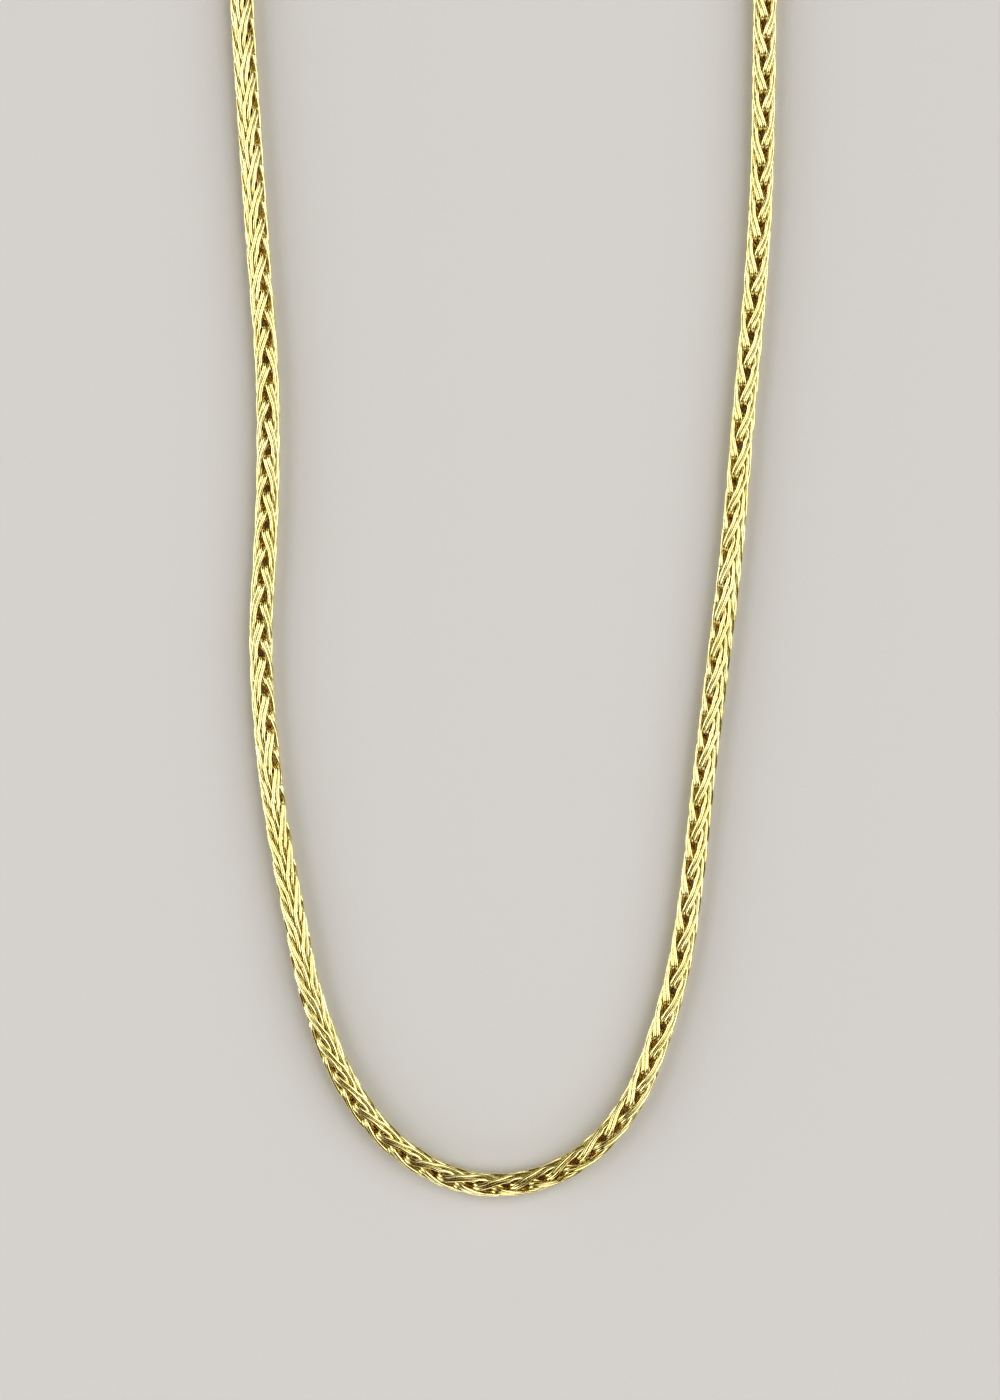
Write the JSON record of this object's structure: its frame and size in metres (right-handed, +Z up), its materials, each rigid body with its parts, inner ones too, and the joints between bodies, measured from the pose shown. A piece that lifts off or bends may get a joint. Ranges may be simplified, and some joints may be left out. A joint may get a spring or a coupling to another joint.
{
  "type": "braided chain necklace",
  "caption": "Closed necklace of two-way woven wheat chain with a plain barrel clasp, lying flat in a long loop.",
  "frame": {"origin": "centre of the loop's box on the surface that the necklace lies on", "axes": "+Z up from the surface, +Y from the middle of the U to the clasp, +X to the right seen from above"},
  "size_m": [0.0556, 0.2048, 0.0044],
  "materials": {
    "chain": "polished yellow gold",
    "clasp": "polished yellow gold"
  },
  "bodies": {
    "root": {"chain_left": "chain", "chain_right": "chain", "clasp": "clasp"}
  },
  "joints": []
}
